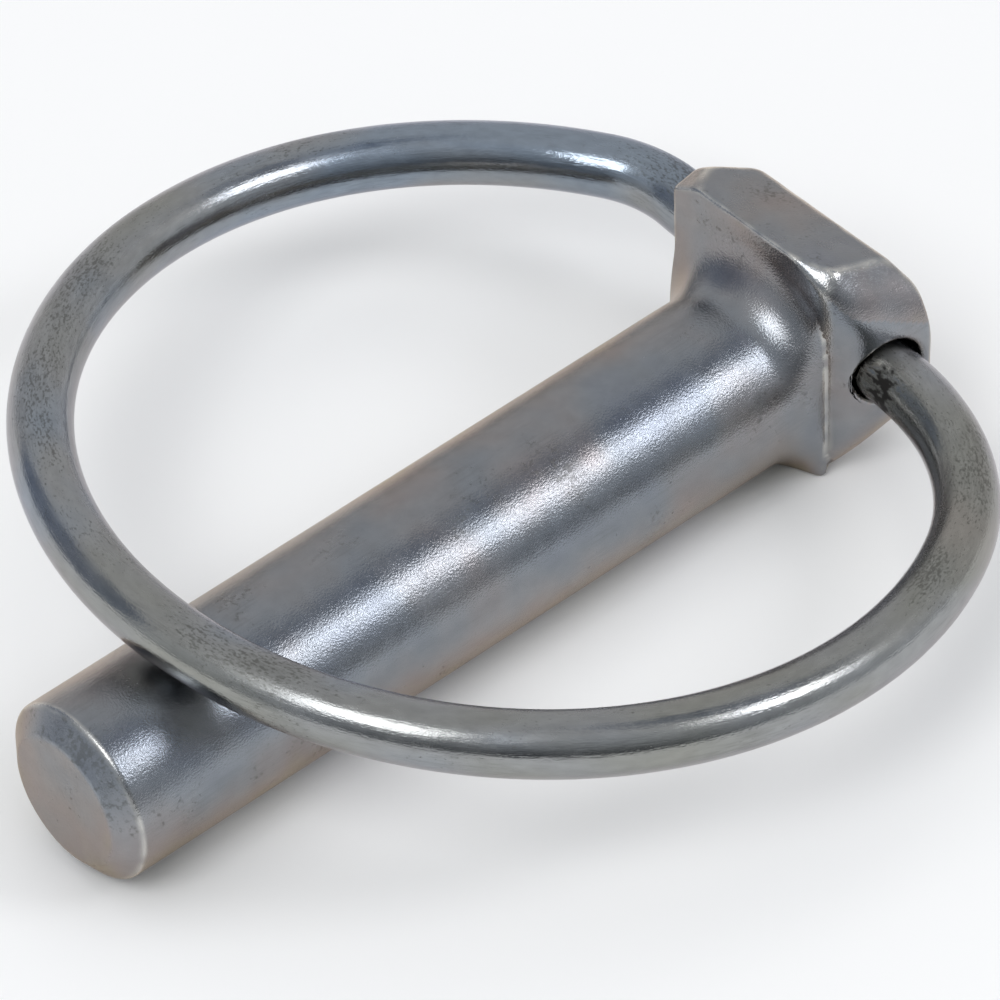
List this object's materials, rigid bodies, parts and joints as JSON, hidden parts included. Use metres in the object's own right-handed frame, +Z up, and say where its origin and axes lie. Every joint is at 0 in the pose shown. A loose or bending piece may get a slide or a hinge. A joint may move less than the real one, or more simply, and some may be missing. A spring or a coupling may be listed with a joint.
{
  "type": "lynch pin",
  "caption": "Forged steel locking pin with a blocky faceted head and a hinged spring-wire ring that flips over the shank to keep it in its hole.",
  "frame": {"origin": "on the shank's axis, where its straight part meets the neck below the head", "axes": "+X along the shank towards its tip, +Z up as the pin lies on the flush side of its head"},
  "size_m": [0.0585, 0.0558, 0.0154],
  "materials": {
    "pin": "bright zinc plate, blue-white passivated, lightly worn and dirty",
    "ring": "bright zinc plate, blue-white passivated, lightly worn and dirty"
  },
  "bodies": {
    "pin": {"pin": "pin"},
    "ring": {"ring": "ring"}
  },
  "joints": [
    {"name": "ring_swing", "type": "hinge", "parent": "pin", "child": "ring", "pos_m": [-0.0067, 0, 0.00215], "axis": [-0.073, -0.9973, 0], "range_deg": [0, 341]}
  ]
}
